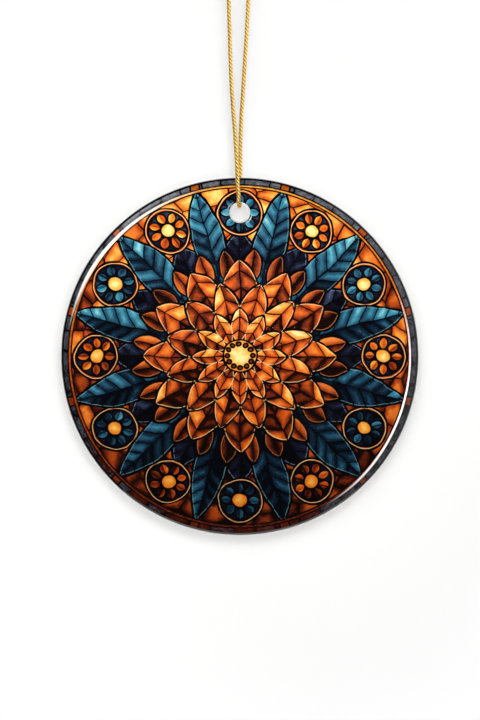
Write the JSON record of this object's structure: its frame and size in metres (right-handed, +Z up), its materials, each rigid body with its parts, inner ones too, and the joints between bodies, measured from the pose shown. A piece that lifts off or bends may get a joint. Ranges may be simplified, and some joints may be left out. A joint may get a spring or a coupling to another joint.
{
  "type": "hanging ceramic ornament",
  "caption": "Flat round ceramic ornament with a glossy leaded-glass style print on its front, hung through its hole on a knotted loop of twisted gold cord.",
  "frame": {"origin": "hang point: the inside top of the cord's loop, just under the knot", "axes": "+Z up; the printed face looks along -Y; +X to the viewer's right"},
  "size_m": [0.071, 0.0054, 0.1482],
  "materials": {
    "white_ceramic": "glossy white glaze",
    "printed_glaze": "high gloss, full-colour print in orange, amber, teal and slate",
    "gold_cord": "twisted metallic gold yarn, satin"
  },
  "bodies": {
    "knot": {"cord_knot": "gold_cord", "cord_tail_left": "gold_cord", "cord_tail_right": "gold_cord"},
    "strands": {"cord_front_strand": "gold_cord", "cord_back_strand": "gold_cord"},
    "bight": {"cord_bight": "gold_cord"},
    "disc": {"ceramic_disc": "white_ceramic", "printed_coat": "printed_glaze"}
  },
  "joints": [
    {"name": "loop_twist", "type": "hinge", "parent": "knot", "child": "strands", "pos_m": [0, 0, 0], "axis": [0, 0, 1], "range_deg": [-170, 170], "stiffness_Nm_per_rad": 0.00001},
    {"name": "disc_tip", "type": "hinge", "parent": "strands", "child": "bight", "pos_m": [0, 0, -0.068], "axis": [1, 0, 0], "range_deg": [-20, 20]},
    {"name": "disc_sway", "type": "hinge", "parent": "bight", "child": "disc", "pos_m": [0, 0, -0.068], "axis": [0, 1, 0], "range_deg": [-60, 60]}
  ]
}
